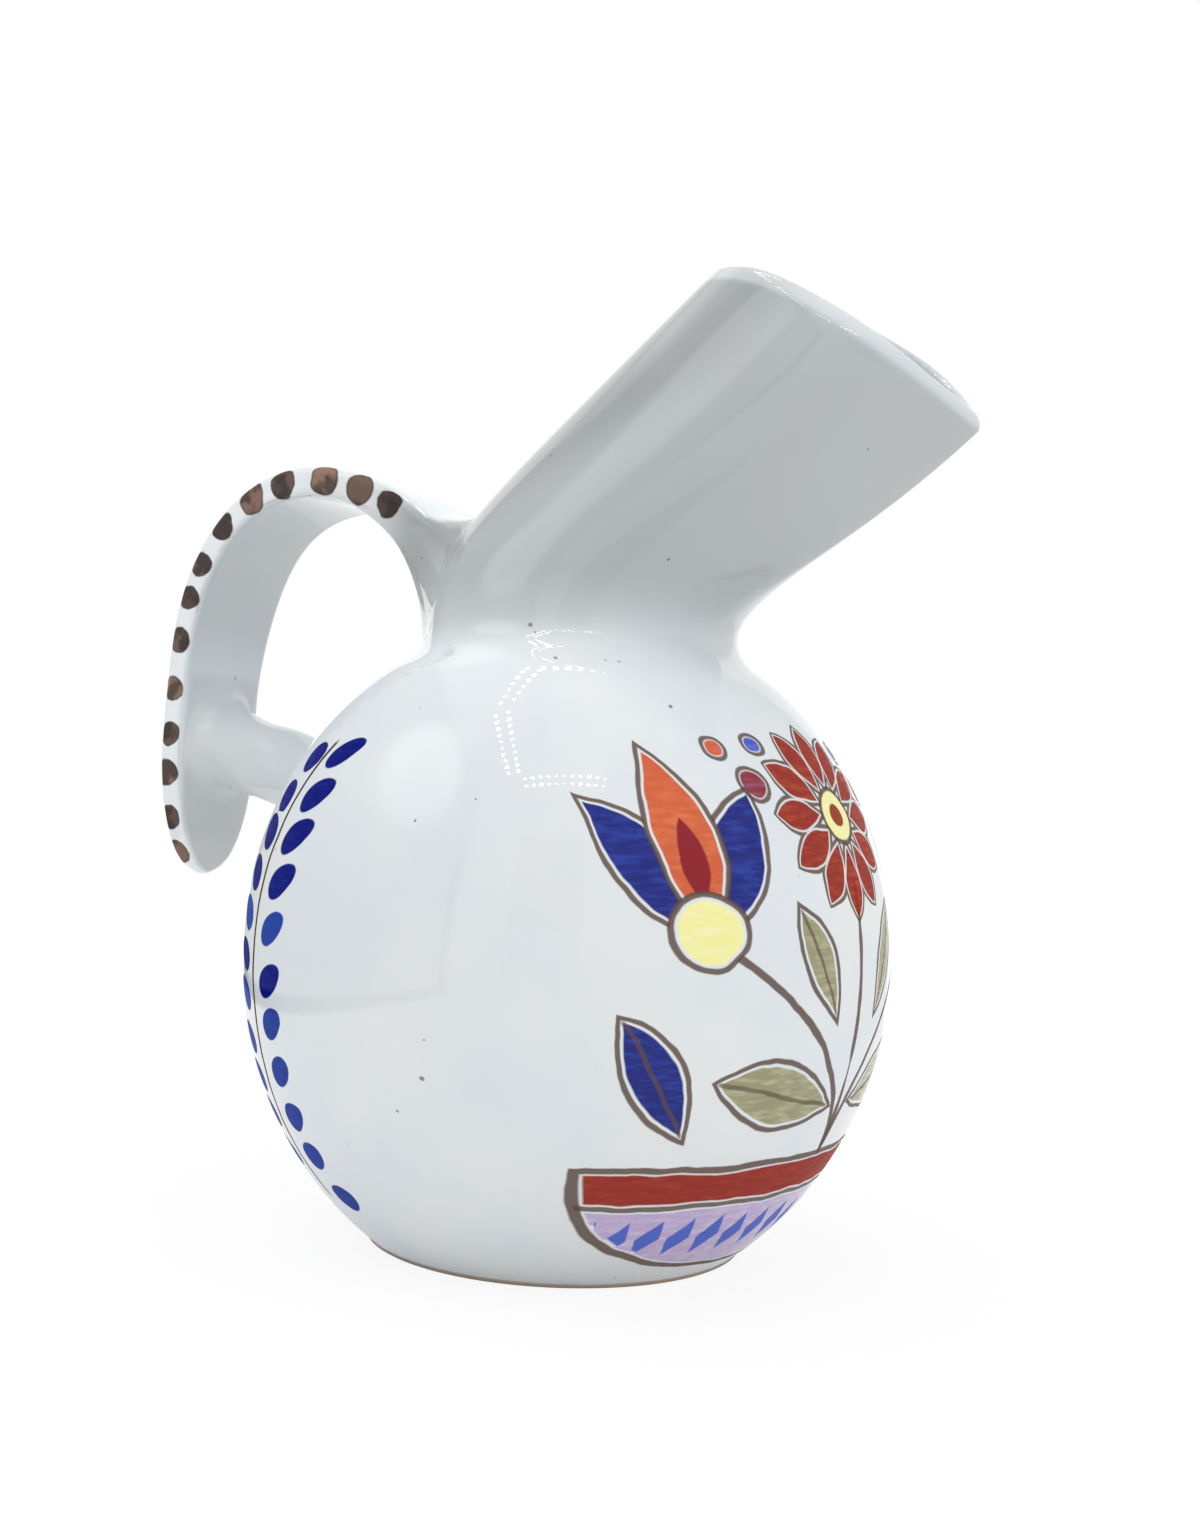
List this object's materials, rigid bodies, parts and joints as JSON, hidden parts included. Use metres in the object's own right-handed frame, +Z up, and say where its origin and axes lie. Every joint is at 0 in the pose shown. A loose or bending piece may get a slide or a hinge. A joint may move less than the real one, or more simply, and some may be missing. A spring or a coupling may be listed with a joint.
{
  "type": "pitcher",
  "caption": "Globular glazed earthenware pitcher with a forward-leaning beaked spout and a broad strap handle held off the globe by a peg.",
  "frame": {"origin": "centre of the flat base, on the upright axis of the globe, at the level of the table", "axes": "+Z up along the axis of the globe, +X towards the beak of the spout, the strap handle on the -X side"},
  "size_m": [0.2767, 0.188, 0.279],
  "materials": {
    "globe_glaze": "glossy tin glaze",
    "spout_glaze": "glossy tin glaze",
    "strap_glaze": "glossy tin glaze",
    "peg_glaze": "glossy tin glaze",
    "joint_glaze": "glossy tin glaze"
  },
  "bodies": {
    "root": {"globe_body": "globe_glaze", "spout": "spout_glaze", "handle_strap": "strap_glaze", "handle_peg": "peg_glaze", "strap_root_fillet": "joint_glaze", "peg_body_fillet": "joint_glaze", "peg_strap_fillet": "joint_glaze"}
  },
  "joints": []
}
